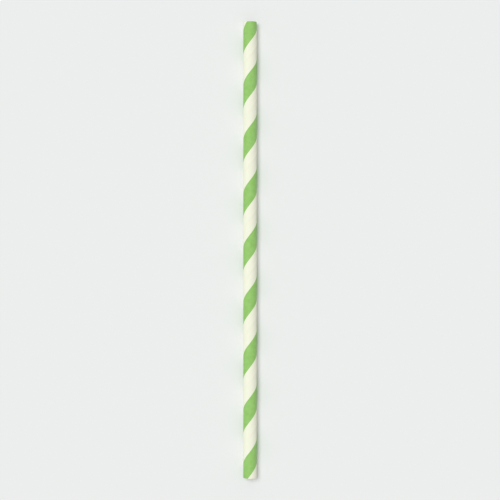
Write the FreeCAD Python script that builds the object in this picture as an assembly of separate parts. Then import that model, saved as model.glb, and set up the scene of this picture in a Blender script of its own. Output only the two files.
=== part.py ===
import FreeCAD, Part
import math
import os

# A paper drinking straw, lying on its side along Y, with the surface it lies on at z = 0.
# Three paper strips are wound on a mandrel in one right-hand helix and glued into a single tube,
# and a knife cuts the tube to length. The edges of the inner strip don't quite meet, so a fine gap
# runs round the wall of the bore.

# Driving sizes, in millimetres
LENGTH = 200.0
OUTER_DIAMETER = 6.0
LEAD = 23.7             # advance of the winding in one turn, and so the pitch of the stripes
INNER_PLY = 0.15
MIDDLE_PLY = 0.15
OUTER_PLY = 0.08
GLUE_LINE = 0.01        # one between each two plies
BUTT_GAP = 0.2          # space between the inner strip's edges, square to the edge
BUTT_CROSSING = 21.75   # where that gap crosses the top line, from the middle of the straw
KNIFE_ROUND = 0.2       # radius that the knife leaves on the outer rim of each end

# Sizes that follow from them
outer_radius = OUTER_DIAMETER / 2
wall = INNER_PLY + MIDDLE_PLY + OUTER_PLY + 2 * GLUE_LINE
bore_radius = outer_radius - wall
winding_angle = math.atan2(math.pi * OUTER_DIAMETER, LEAD)    # from the straw's axis


def wound(section, crossing):
    """Solid that a section sweeps as it follows the winding, past both ends of the straw.

    The section is a list of (radius, advance) points in a plane through the axis.
    It passes the straw's top line, on the -Y side here, at the height called crossing.
    """
    turns_below = math.ceil((LENGTH / 2 + crossing) / LEAD) + 1
    turns_above = math.ceil((LENGTH / 2 - crossing) / LEAD) + 1
    start = crossing - turns_below * LEAD
    path = Part.makeHelix(LEAD, (turns_below + turns_above) * LEAD, outer_radius)
    path.rotate(FreeCAD.Vector(), FreeCAD.Vector(0, 0, 1), -90)
    path.translate(FreeCAD.Vector(0, 0, start))
    corners = [FreeCAD.Vector(0, -radius, start + advance) for radius, advance in section]
    outline = Part.makePolygon(corners + corners[:1])
    make_solid, follow_helix = True, True
    return Part.Wire(path.Edges).makePipeShell([outline], make_solid, follow_helix)


def inner_gap():
    """Space one ply deep between the edges of the inner strip."""
    half = BUTT_GAP / math.sin(winding_angle) / 2
    mouth = bore_radius - INNER_PLY / 2
    floor = bore_radius + INNER_PLY
    section = [(mouth, -half), (floor, -half), (floor, half), (mouth, half)]
    return wound(section, BUTT_CROSSING)


def bore():
    """What is empty inside the tube, running past both of its ends."""
    length = LENGTH + 6 * LEAD
    rod = Part.makeCylinder(bore_radius, length, FreeCAD.Vector(0, 0, -length / 2))
    return rod.fuse(inner_gap())


def cut_rod():
    """Rod as wide and as long as the straw, with its rims rounded."""
    end = LENGTH / 2
    shoulder = end - KNIFE_ROUND
    rim = outer_radius - KNIFE_ROUND
    bulge = KNIFE_ROUND * math.sqrt(0.5)

    def at(radius, height):
        return FreeCAD.Vector(radius, 0, height)

    lower = Part.Arc(at(rim, -end), at(rim + bulge, -shoulder - bulge), at(outer_radius, -shoulder))
    upper = Part.Arc(at(outer_radius, shoulder), at(rim + bulge, shoulder + bulge), at(rim, end))
    outline = Part.Wire([
        Part.makeLine(at(0, -end), at(rim, -end)),
        lower.toShape(),
        Part.makeLine(at(outer_radius, -shoulder), at(outer_radius, shoulder)),
        upper.toShape(),
        Part.makeLine(at(rim, end), at(0, end)),
        Part.makeLine(at(0, end), at(0, -end)),
    ])
    return Part.Face(outline).revolve(FreeCAD.Vector(), FreeCAD.Vector(0, 0, 1), 360)


def straw_tube():
    """The finished straw, standing along Z and centred on the origin."""
    return cut_rod().cut(bore()).Solids[0]


def lay_down(shape):
    """Turn the straw's axis from Z to Y and set its underside at z = 0."""
    shape.rotate(FreeCAD.Vector(), FreeCAD.Vector(1, 0, 0), -90)
    shape.translate(FreeCAD.Vector(0, 0, outer_radius))
    return shape


os.makedirs("parts", exist_ok=True)
lay_down(straw_tube()).exportStep("parts/straw_tube.step")
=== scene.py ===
import math

import bmesh
import bpy
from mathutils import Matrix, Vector, noise


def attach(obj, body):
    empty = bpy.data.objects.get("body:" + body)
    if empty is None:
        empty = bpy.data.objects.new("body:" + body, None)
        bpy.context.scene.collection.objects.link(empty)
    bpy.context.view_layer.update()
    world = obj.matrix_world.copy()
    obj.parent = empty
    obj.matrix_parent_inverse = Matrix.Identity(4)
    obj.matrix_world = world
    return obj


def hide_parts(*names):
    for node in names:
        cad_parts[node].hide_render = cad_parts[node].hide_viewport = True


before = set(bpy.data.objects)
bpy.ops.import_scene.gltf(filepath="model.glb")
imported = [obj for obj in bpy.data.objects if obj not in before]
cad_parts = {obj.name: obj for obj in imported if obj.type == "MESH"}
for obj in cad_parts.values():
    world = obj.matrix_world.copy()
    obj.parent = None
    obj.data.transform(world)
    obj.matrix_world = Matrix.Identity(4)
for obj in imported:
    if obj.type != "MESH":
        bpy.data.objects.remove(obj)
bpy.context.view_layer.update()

# The wound tube
# A drinking straw is three strips of paper, wound on a steel mandrel in one right-hand helix and
# glued to each other as they go, so that they come off as one endless stiff tube. The outer strip
# is printed first and laps over its own edge. The mesh is made in millimetres about the Y axis.

LENGTH = 200.0
LAP_RADIUS = 3.0        # over the lap, which is what the straw lies on
OUTER_RADIUS = 2.94     # over the plain wall beside it
BORE_RADIUS = 2.6
LEAD = 23.7             # advance in one turn
LAP_CROSSING = 13.35    # where the lapping edge crosses the straw's top line
LAP_FOOT = 1.53         # the lap is down to the plain wall this far along from that edge
MIDDLE_STAGGER = 15.6   # the middle strip's seam lies this far along from it
BUTT_STAGGER = 7.9      # and the gap between the inner strip's edges this far
SINK_HALF = 0.5         # half of the dip over the middle strip's seam, along the axis
GAP_HALF = 0.16         # half of the inner strip's gap, along the axis
GAP_LIP = 0.02          # how far the gap's edges are eased
GAP_FLOOR = 2.73        # radius at its floor
STEPS = 60              # of the winding, in one turn
WELD = 0.004            # points nearer than this are one

# Both lines are one pitch of the wall as (radius, distance along from the lapping edge), with
# points in even steps on the plain stretches between the forms.
outside_line = [
    (OUTER_RADIUS, 0.0),
    (2.994, 0.0), (LAP_RADIUS, 0.02), (LAP_RADIUS, 0.4), (2.999, 0.8),    # the lap, one ply high
    (2.99, 0.95), (2.968, 1.16), (2.947, 1.38), (OUTER_RADIUS, LAP_FOOT),
] + [(OUTER_RADIUS, LAP_FOOT + 1.55 * step) for step in range(1, 9)] + [
    (OUTER_RADIUS, MIDDLE_STAGGER - SINK_HALF),                  # the paper sinks a little where
    (2.925, MIDDLE_STAGGER - 0.2), (2.915, MIDDLE_STAGGER),      # the strip below it has a seam
    (2.925, MIDDLE_STAGGER + 0.2), (OUTER_RADIUS, MIDDLE_STAGGER + SINK_HALF),
] + [(OUTER_RADIUS, MIDDLE_STAGGER + SINK_HALF + 1.52 * step) for step in range(1, 5)]

gap_start = BUTT_STAGGER - GAP_HALF
gap_end = BUTT_STAGGER + GAP_HALF
bore_line = [(BORE_RADIUS, 0.98 * step) for step in range(8)] + [
    (BORE_RADIUS, gap_start - GAP_LIP), (BORE_RADIUS + GAP_LIP / 2, gap_start),
    (GAP_FLOOR, gap_start), (GAP_FLOOR, gap_end),
    (BORE_RADIUS + GAP_LIP / 2, gap_end), (BORE_RADIUS, gap_end + GAP_LIP),
] + [(BORE_RADIUS, gap_end + GAP_LIP + 1.2 * step) for step in range(1, 13)]

tube = bmesh.new()


def wind(line):
    """Spin one pitch of the wall into a turn, and repeat the turn past both cuts."""
    turns_below = math.ceil((LENGTH / 2 + LAP_CROSSING) / LEAD) + 1
    turns = turns_below + math.ceil((LENGTH / 2 - LAP_CROSSING) / LEAD) + 1
    start = LAP_CROSSING - turns_below * LEAD
    closed = line + [(line[0][0], LEAD)]
    wound_before = set(tube.faces)
    points = [tube.verts.new((0, start + advance, radius)) for radius, advance in closed]
    edges = [tube.edges.new(pair) for pair in zip(points, points[1:])]
    bmesh.ops.spin(
        tube, geom=points + edges, cent=(0, 0, 0), axis=(0, 1, 0), dvec=(0, LEAD / STEPS, 0),
        angle=math.tau, steps=STEPS, use_merge=False, use_duplicate=False)
    turn = list(set(tube.faces) - wound_before)
    for number in range(1, turns):
        made = bmesh.ops.duplicate(tube, geom=turn)["geom"]
        moved = [item for item in made if isinstance(item, bmesh.types.BMVert)]
        bmesh.ops.translate(tube, verts=moved, vec=(0, number * LEAD, 0))


def from_axis(point):
    """Distance from the straw's axis."""
    return math.hypot(point.x, point.z)


wind(outside_line)
wind(bore_line)
bmesh.ops.remove_doubles(tube, verts=tube.verts, dist=WELD)
OUTSIDE, BORE, CUT = 0, 1, 2    # the tube's surfaces, and the slots of their materials
WITHIN_WALL = 2.85              # radius with the outside past it and the bore short of it
for face in tube.faces:
    face.material_index = OUTSIDE if from_axis(face.calc_center_median()) > WITHIN_WALL else BORE

# The cut ends
# A rotating knife cuts the endless tube to length. It rolls the outer rim over a little, and the
# cut shows the three plies as rings, with a fine glue line between each two.

KNIFE_ROUND = 0.14    # length of the rim that the knife rolls over
ROLL = 0.4            # each of the first rings goes this share of the way through the outer ply
OUTER_PLY = 0.07      # its thickness, short of the glue
OUTER_GLUE = 0.075    # the two glue lines' distances in from the outside
INNER_GLUE = 0.195
FUZZ = 0.012          # mean depth of the roughness between the fibres that the knife raises
TUFTS = 5             # of them in a millimetre, as many as the rings can show
ON_PLANE = 0.002      # points nearer to the plane of a cut than this count as on it
RIM_WELD = 0.0005     # a weld that is fine enough to spare the rings
knife_rings = [       # distance in from the outside, and depth below the plane of the cut
    (0.02, 0.075), (0.045, 0.035), (OUTER_PLY, 0.012), (OUTER_GLUE, 0.03), (0.08, 0.008),
    (0.12, 0.0), (0.155, 0.0), (0.19, 0.0), (INNER_GLUE, 0.025), (0.2, 0.0),
]


def cut_off(surface, side, recess):
    """Take away what lies past the cut, and return the edges that are left open there."""
    faces = [face for face in tube.faces if face.material_index == surface]
    edges = list({edge for face in faces for edge in face.edges})
    points = list({point for face in faces for point in face.verts})
    bmesh.ops.bisect_plane(
        tube, geom=points + edges + faces, dist=ON_PLANE, clear_outer=True,
        plane_co=(0, side * (LENGTH / 2 - recess), 0), plane_no=(0, side, 0))
    return [
        edge for edge in tube.edges
        if edge.is_boundary and edge.link_faces[0].material_index == surface
        and edge.verts[0].co.y * side > 0]


for side in (-1, 1):
    rim = cut_off(OUTSIDE, side, KNIFE_ROUND)
    bore_rim = cut_off(BORE, side, 0)
    walls = set(tube.faces)
    for inset, depth in knife_rings:
        made = bmesh.ops.extrude_edge_only(tube, edges=rim)["geom"]
        rim = [item for item in made if isinstance(item, bmesh.types.BMEdge) and item.is_boundary]
        for point in {point for edge in rim for point in edge.verts}:
            radius = from_axis(point.co)
            onto = OUTER_RADIUS - inset
            if inset < OUTER_PLY:    # the lap's step fades out over these rings
                onto = radius + (OUTER_RADIUS - OUTER_PLY - radius) * ROLL
            spot = Vector((point.co.x, inset * 3, point.co.z))
            fuzz = FUZZ * (1 + noise.noise(spot * TUFTS))
            point.co.x *= onto / radius
            point.co.z *= onto / radius
            point.co.y = side * (LENGTH / 2 - depth - fuzz)
    bmesh.ops.triangle_fill(tube, edges=rim + bore_rim, use_beauty=True, normal=(0, side, 0))
    for face in set(tube.faces) - walls:
        face.material_index = CUT

bmesh.ops.remove_doubles(tube, verts=tube.verts, dist=RIM_WELD)
bmesh.ops.recalc_face_normals(tube, faces=tube.faces)
if tube.calc_volume(signed=True) < 0:    # the closed wall came out facing inwards
    bmesh.ops.reverse_faces(tube, faces=tube.faces)

# The strip's own flat coordinates
# The paper is printed flat and has its grain along the strip, so its colours and fibres follow the
# winding. The map called Strip gives each point its place on the flat strip, in millimetres: U
# across the strip from the lapping edge, and V along it.

winding_angle = math.atan2(math.tau * OUTER_RADIUS, LEAD)
strip_in_a_turn = math.hypot(math.tau * OUTER_RADIUS, LEAD)
strip_width = LEAD * math.sin(winding_angle)
layout = tube.loops.layers.uv.new("OFBake")
strip = tube.loops.layers.uv.new("Strip")


def around(point):
    """Angle about the axis from the top line, the way the winding goes."""
    return math.atan2(point.x, point.z)


for face in tube.faces:
    middle = face.calc_center_median()
    pitches = (middle.y - LAP_CROSSING) / LEAD - around(middle) / math.tau
    for corner in face.loops:
        point = corner.vert.co
        off_middle = math.remainder(around(point) - around(middle), math.tau)
        turned = around(middle) + off_middle + math.tau * math.floor(pitches)
        advance = point.y - LAP_CROSSING - turned / math.tau * LEAD
        corner[strip].uv = (
            advance * math.sin(winding_angle),
            turned / math.tau * strip_in_a_turn + advance * math.cos(winding_angle))

# The layout for a baked picture
# The outside is slit along the line that the straw lies on and laid out in three lengths, one above
# another. The bore and the two cuts, of which little is seen, share the strip below them. The map
# called OFBake gives each point its place on that square, which is 1 wide and 1 high.

ONE_LENGTH = LENGTH / 3
OVERHANG = 2.0                         # millimetres past both ends, for the faces that cross them
OUTSIDE_ROWS = (0.19, 0.463, 0.736)    # where each row starts
OUTSIDE_HEIGHT = 0.258
BORE_ROW = 0.09
BORE_HEIGHT = 0.08
BORE_MARGIN = 0.01
CUT_ROWS = {-1: 0.006, 1: 0.046}       # by the end of the straw
CUT_HEIGHT = 0.024


def on_layout(surface, middle, point):
    """Place of a corner on the square, for a face of that surface and middle."""
    off_middle = math.remainder(around(point) - around(middle), math.tau)
    round_share = (around(middle) + off_middle) / math.tau + 0.5
    along = point.y + LENGTH / 2
    if surface == CUT:
        inwards = (LAP_RADIUS - from_axis(point)) / (LAP_RADIUS - BORE_RADIUS)
        return round_share, CUT_ROWS[math.copysign(1, middle.y)] + inwards * CUT_HEIGHT
    if surface == BORE:
        share = BORE_MARGIN + (1 - 2 * BORE_MARGIN) * along / LENGTH
        return share, BORE_ROW + round_share * BORE_HEIGHT
    row = min(int((middle.y + LENGTH / 2) / ONE_LENGTH), len(OUTSIDE_ROWS) - 1)
    share = (along - row * ONE_LENGTH + OVERHANG) / (ONE_LENGTH + 2 * OVERHANG)
    return share, OUTSIDE_ROWS[row] + round_share * OUTSIDE_HEIGHT


for face in tube.faces:
    middle = face.calc_center_median()
    for corner in face.loops:
        corner[layout].uv = on_layout(face.material_index, middle, corner.vert.co)

# The finished tube
# Its round surfaces are shaded smooth and its edges sharp. It is laid on the floor and turned from
# millimetres to metres.

MILLIMETRE = 0.001
SHARP = math.radians(40)
for face in tube.faces:
    face.smooth = True
for edge in tube.edges:
    if edge.is_manifold and edge.calc_face_angle() > SHARP:
        edge.smooth = False

bmesh.ops.translate(tube, verts=tube.verts, vec=(0, 0, LAP_RADIUS))
bmesh.ops.scale(tube, verts=tube.verts, vec=(MILLIMETRE, MILLIMETRE, MILLIMETRE))
straw_mesh = bpy.data.meshes.new("wound_tube")
tube.to_mesh(straw_mesh)
tube.free()
straw = bpy.data.objects.new("wound_tube", straw_mesh)
bpy.context.scene.collection.objects.link(straw)
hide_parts("straw_tube")
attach(straw, "root")

# The printed outer strip
# Food-grade white paper of about 60 g/m2, machine-made and uncoated, printed in one water-based
# green ink before it is wound. To the eye it is matt, with faint streaks along the grain and an
# ink that is a little uneven and soft at its edge.


def linear(colour):
    """Linear colour of an sRGB hex value."""
    parts = [int(colour[place:place + 2], 16) / 255 for place in (1, 3, 5)]
    return [p / 12.92 if p <= 0.04045 else ((p + 0.055) / 1.055) ** 2.4 for p in parts] + [1.0]


def add_node(tree, kind, inputs=None, **settings):
    """Add a node, with its settings, its values and the outputs that it is fed from."""
    node = tree.nodes.new(kind)
    for name, value in settings.items():
        setattr(node, name, value)
    for name, value in (inputs or {}).items():
        if isinstance(value, bpy.types.NodeSocket):
            tree.links.new(value, node.inputs[name])
        else:
            node.inputs[name].default_value = value
    return node


PAPER_WHITE = "#F5F7E1"
INK_FULL = "#90C566"
INK_THIN = "#9BCD73"
BAND_MIDDLE = strip_width / 2    # across the strip
BAND_HALF = 3.25                 # the print takes 0.446 of the strip's width
CREEP = 0.04                     # how far the ink creeps into the fibres at its edge
CREEP_SPACING = 1 / 3            # along that edge
SOFT_EDGE = 0.05                 # half the width over which the ink thins out there
PATCH = 2.0                      # the size of the soft patches in which the plate lays it on

printed = bpy.data.materials.new("uncoated_paper_with_green_print")
printed.use_nodes = True
tree = printed.node_tree
shader = tree.nodes["Principled BSDF"]
on_strip = add_node(tree, "ShaderNodeUVMap", uv_map="Strip").outputs["UV"]
across = add_node(tree, "ShaderNodeSeparateXYZ", {"Vector": on_strip}).outputs["X"]

# The edge of the print wanders, as the ink creeps into the fibres.
creep = add_node(
    tree, "ShaderNodeTexNoise", {"Vector": on_strip, "Scale": 1 / CREEP_SPACING, "Detail": 4.0})
crept = add_node(
    tree, "ShaderNodeMapRange",
    {"Value": creep.outputs["Fac"], "From Min": 0.25, "From Max": 0.75,
     "To Min": -CREEP, "To Max": CREEP})
edge_wander = add_node(
    tree, "ShaderNodeMath", {0: across, 1: crept.outputs["Result"]}, operation="ADD")
from_band = add_node(
    tree, "ShaderNodeMath", {0: edge_wander.outputs["Value"], 1: BAND_MIDDLE}, operation="SUBTRACT")
off_band = add_node(tree, "ShaderNodeMath", {0: from_band.outputs["Value"]}, operation="ABSOLUTE")
ink = add_node(
    tree, "ShaderNodeMapRange",
    {"Value": off_band.outputs["Value"],
     "From Min": BAND_HALF - SOFT_EDGE, "From Max": BAND_HALF + SOFT_EDGE,
     "To Min": 1.0, "To Max": 0.0}, interpolation_type="SMOOTHSTEP").outputs["Result"]

# The green inside it is full in some patches and thin in others.
patches = add_node(
    tree, "ShaderNodeTexNoise", {"Vector": on_strip, "Scale": 1 / PATCH, "Detail": 4.0})
laid = add_node(
    tree, "ShaderNodeMapRange",
    {"Value": patches.outputs["Fac"], "From Min": 0.35, "From Max": 0.65}).outputs["Result"]
MIX_A, MIX_B, MIX_RESULT = 6, 7, 2    # the Mix node's colour sockets
green = add_node(
    tree, "ShaderNodeMix", {0: laid, MIX_A: linear(INK_FULL), MIX_B: linear(INK_THIN)},
    data_type="RGBA").outputs[MIX_RESULT]
printed_colour = add_node(
    tree, "ShaderNodeMix", {0: ink, MIX_A: linear(PAPER_WHITE), MIX_B: green},
    data_type="RGBA").outputs[MIX_RESULT]

# Single fibres are 0.02 mm thick, too fine to show, so the grain is drawn as the streaks in which
# fibres bunch on the paper machine.
STREAK_WIDTH = 1 / 3
STREAK_LENGTH = 4.0


def grain(tree, on_strip):
    """Pattern of the grain, which runs along the strip."""
    along = add_node(
        tree, "ShaderNodeMapping",
        {"Vector": on_strip, "Scale": (1 / STREAK_WIDTH, 1 / STREAK_LENGTH, 1.0)})
    return add_node(
        tree, "ShaderNodeTexNoise",
        {"Vector": along.outputs["Vector"], "Scale": 1.0, "Detail": 5.0}).outputs["Fac"]


streaks = grain(tree, on_strip)
shade = add_node(
    tree, "ShaderNodeMapRange",
    {"Value": streaks, "From Min": 0.3, "From Max": 0.7, "To Min": 0.965, "To Max": 1.0})
paper_colour = add_node(
    tree, "ShaderNodeMix", {0: 1.0, MIX_A: printed_colour, MIX_B: shade.outputs["Result"]},
    data_type="RGBA", blend_type="MULTIPLY").outputs[MIX_RESULT]
tree.links.new(paper_colour, shader.inputs["Base Color"])

# Ink fills the pores a little, so it is less rough than bare paper.
roughness = add_node(tree, "ShaderNodeMapRange", {"Value": ink, "To Min": 0.85, "To Max": 0.68})
tree.links.new(roughness.outputs["Result"], shader.inputs["Roughness"])
shader.inputs["IOR"].default_value = 1.5
shader.inputs["Specular IOR Level"].default_value = 0.3

TOOTH = 0.25           # spacing of the paper's tooth
PAPER_RELIEF = 0.02    # height of the tooth and of the grain
tooth = add_node(
    tree, "ShaderNodeTexNoise", {"Vector": on_strip, "Scale": 1 / TOOTH, "Detail": 6.0})
relief = add_node(
    tree, "ShaderNodeMath", {0: tooth.outputs["Fac"], 1: streaks}, operation="ADD")
bump = add_node(
    tree, "ShaderNodeBump",
    {"Height": relief.outputs["Value"], "Strength": 1.0, "Distance": PAPER_RELIEF * MILLIMETRE})
tree.links.new(bump.outputs["Normal"], shader.inputs["Normal"])
straw_mesh.materials.append(printed)

# The inner strip
# Unprinted white food paper of about 120 g/m2, harder and smoother than the outer one. Only its
# edge gap and its faint grain break up the even white of the bore.

# The bore is less yellow than the outer paper because it is another paper, and a little darker
# as painted shade for the inside of the tube.
BORE_WHITE_WITH_PAINTED_SHADE = "#F3F3E8"
unprinted = bpy.data.materials.new("unprinted_white_paper")
unprinted.use_nodes = True
tree = unprinted.node_tree
shader = tree.nodes["Principled BSDF"]
on_strip = add_node(tree, "ShaderNodeUVMap", uv_map="Strip").outputs["UV"]
streaks = grain(tree, on_strip)
shade = add_node(
    tree, "ShaderNodeMapRange",
    {"Value": streaks, "From Min": 0.3, "From Max": 0.7, "To Min": 0.95, "To Max": 1.0})
bore_colour_with_painted_shade = add_node(
    tree, "ShaderNodeMix", {0: 1.0, MIX_A: linear(BORE_WHITE_WITH_PAINTED_SHADE), MIX_B: shade.outputs["Result"]},
    data_type="RGBA", blend_type="MULTIPLY").outputs[MIX_RESULT]
tree.links.new(bore_colour_with_painted_shade, shader.inputs["Base Color"])
shader.inputs["Roughness"].default_value = 0.8
shader.inputs["IOR"].default_value = 1.5
shader.inputs["Specular IOR Level"].default_value = 0.3
bump = add_node(
    tree, "ShaderNodeBump",
    {"Height": streaks, "Strength": 1.0, "Distance": PAPER_RELIEF * MILLIMETRE})
tree.links.new(bump.outputs["Normal"], shader.inputs["Normal"])
straw_mesh.materials.append(unprinted)

# The cut edges of the plies
# Paper that a knife has parted is duller than its face: the fibres stand up and hold shadow, and
# the set glue between the plies is a thin line a little darker than the paper.

CUT_WHITE = "#EFEDDF"
GLUE = "#D2CCB8"
GLUE_HALF = 0.02       # half of a glue line's width, which is drawn coarse enough to show
FIBRE_END = 1 / 9      # spacing of the single fibre ends, finer than the rings can show
FIBRE_RELIEF = 0.03    # and their height
cut_paper = bpy.data.materials.new("knife_cut_paper_edge")
cut_paper.use_nodes = True
tree = cut_paper.node_tree
shader = tree.nodes["Principled BSDF"]
place = add_node(tree, "ShaderNodeTexCoord").outputs["Object"]
centred = add_node(
    tree, "ShaderNodeVectorMath", {0: place, 1: (0.0, 0.0, -LAP_RADIUS * MILLIMETRE)},
    operation="ADD")
apart = add_node(tree, "ShaderNodeSeparateXYZ", {"Vector": centred.outputs["Vector"]})
level = add_node(
    tree, "ShaderNodeCombineXYZ", {"X": apart.outputs["X"], "Z": apart.outputs["Z"]})
radius = add_node(tree, "ShaderNodeVectorMath", {0: level.outputs["Vector"]}, operation="LENGTH")
outer_glue, inner_glue = [
    add_node(
        tree, "ShaderNodeMath",
        {0: radius.outputs["Value"], 1: (OUTER_RADIUS - inset) * MILLIMETRE,
         2: GLUE_HALF * MILLIMETRE}, operation="COMPARE").outputs["Value"]
    for inset in (OUTER_GLUE, INNER_GLUE)]
glue = add_node(
    tree, "ShaderNodeMath", {0: outer_glue, 1: inner_glue}, operation="MAXIMUM").outputs["Value"]
cut_colour = add_node(
    tree, "ShaderNodeMix", {0: glue, MIX_A: linear(CUT_WHITE), MIX_B: linear(GLUE)},
    data_type="RGBA").outputs[MIX_RESULT]
tree.links.new(cut_colour, shader.inputs["Base Color"])
shader.inputs["Roughness"].default_value = 0.95
shader.inputs["Specular IOR Level"].default_value = 0.2
fibre_ends = add_node(
    tree, "ShaderNodeTexNoise",
    {"Vector": place, "Scale": 1 / (FIBRE_END * MILLIMETRE), "Detail": 3.0})
bump = add_node(
    tree, "ShaderNodeBump",
    {"Height": fibre_ends.outputs["Fac"], "Strength": 1.0, "Distance": FIBRE_RELIEF * MILLIMETRE})
tree.links.new(bump.outputs["Normal"], shader.inputs["Normal"])
straw_mesh.materials.append(cut_paper)

# The floor, the light and the camera
# A plain pale studio surface, a large soft lamp from the upper left and an even sky. Together they
# give a level surface the colour that is written for it. The camera looks straight down.

FLOOR_PALE = "#ECEEED"
FLOOR_HALF = 4.0                  # half of its side, in metres
floor_mesh = bpy.data.meshes.new("studio_floor")
ground = bmesh.new()
bmesh.ops.create_grid(ground, x_segments=1, y_segments=1, size=FLOOR_HALF)
ground.to_mesh(floor_mesh)
ground.free()
floor = bpy.data.objects.new("studio_floor", floor_mesh)
bpy.context.scene.collection.objects.link(floor)
pale = bpy.data.materials.new("pale_matt_floor")
pale.use_nodes = True
shader = pale.node_tree.nodes["Principled BSDF"]
shader.inputs["Base Color"].default_value = linear(FLOOR_PALE)
shader.inputs["Roughness"].default_value = 0.9
shader.inputs["Specular IOR Level"].default_value = 0.0
floor_mesh.materials.append(pale)

SKY_LIGHT = 0.5                   # the sky's share of the light on a level surface
LAMP_LEAN = math.radians(20)
LAMP_BEARING = math.radians(-35)
LAMP_SPREAD = math.radians(30)
sky = bpy.data.worlds.new("even_sky")
sky.use_nodes = True
bpy.context.scene.world = sky
tree = sky.node_tree
lighting = tree.nodes["Background"]
lighting.inputs["Color"].default_value = (1.0, 1.0, 1.0, 1.0)
lighting.inputs["Strength"].default_value = SKY_LIGHT
seen = add_node(tree, "ShaderNodeBackground", {"Color": linear(FLOOR_PALE), "Strength": 1.0})
ray = add_node(tree, "ShaderNodeLightPath")
camera_or_gloss = add_node(
    tree, "ShaderNodeMath",
    {0: ray.outputs["Is Camera Ray"], 1: ray.outputs["Is Glossy Ray"]}, operation="MAXIMUM")
shown = add_node(
    tree, "ShaderNodeMath",
    {0: camera_or_gloss.outputs["Value"], 1: ray.outputs["Is Transmission Ray"]},
    operation="MAXIMUM")
backdrop = add_node(
    tree, "ShaderNodeMixShader",
    {0: shown.outputs["Value"], 1: lighting.outputs["Background"], 2: seen.outputs["Background"]})
tree.links.new(backdrop.outputs["Shader"], tree.nodes["World Output"].inputs["Surface"])

lamp_data = bpy.data.lights.new("soft_lamp", "SUN")
lamp_data.energy = (1 - SKY_LIGHT) * math.pi / math.cos(LAMP_LEAN)
lamp_data.angle = LAMP_SPREAD
lamp = bpy.data.objects.new("soft_lamp", lamp_data)
lamp.rotation_euler = (0, -LAMP_LEAN, LAMP_BEARING)
bpy.context.scene.collection.objects.link(lamp)

CAMERA_HEIGHT = 0.6               # 220 mm of the floor fills the picture from here
camera_data = bpy.data.cameras.new("view_from_above")
camera_data.lens = 98.0
camera_data.sensor_width = 36.0
camera = bpy.data.objects.new("view_from_above", camera_data)
camera.location = (0.0, 0.0, CAMERA_HEIGHT)
bpy.context.scene.collection.objects.link(camera)
bpy.context.scene.camera = camera

bpy.context.scene.view_settings.view_transform = "Standard"
